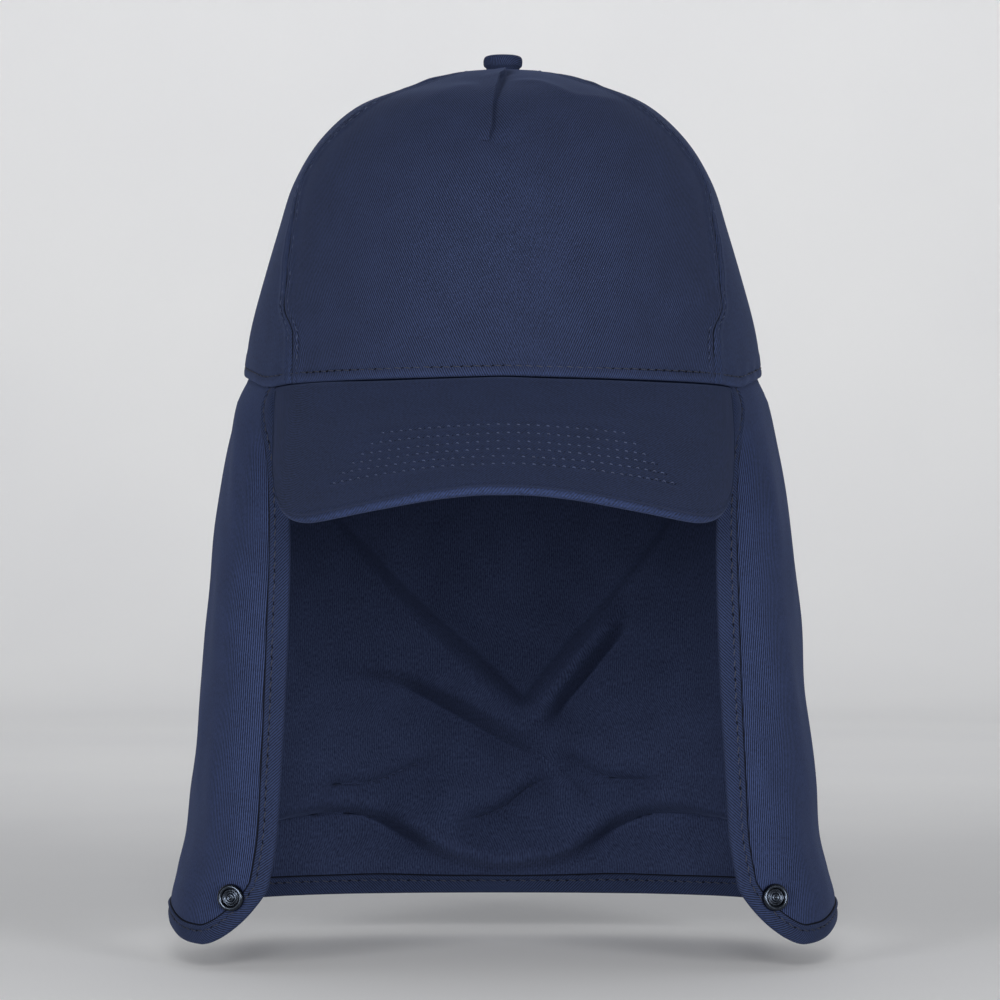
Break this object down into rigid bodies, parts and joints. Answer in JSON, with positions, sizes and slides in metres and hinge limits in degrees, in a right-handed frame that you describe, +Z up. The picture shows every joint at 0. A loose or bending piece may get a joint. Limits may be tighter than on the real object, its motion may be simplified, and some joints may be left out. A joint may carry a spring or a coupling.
{
  "type": "five-panel cap with neck flap",
  "caption": "Cotton five-panel cap with a stitched peak and a long neck flap that has a snap at each front corner.",
  "frame": {"origin": "middle of the crown's rim opening, where the wearer's head holds the cap", "axes": "+Z up through the top button, -Y towards the peak, +X to the right in the picture"},
  "size_m": [0.24, 0.2657, 0.3131],
  "materials": {
    "crown_twill": "navy cotton twill, matte",
    "flap_twill": "navy cotton twill, matte",
    "binding_twill": "navy cotton twill cut on the bias",
    "snap_metal": "polished black nickel"
  },
  "bodies": {
    "root": {"front_panel": "crown_twill", "side_panel_right": "crown_twill", "side_panel_left": "crown_twill", "back_panel_right": "crown_twill", "back_panel_left": "crown_twill", "top_button": "crown_twill", "peak": "crown_twill", "neck_flap": "flap_twill", "flap_binding": "binding_twill", "snap_left": "snap_metal", "snap_right": "snap_metal"}
  },
  "joints": []
}
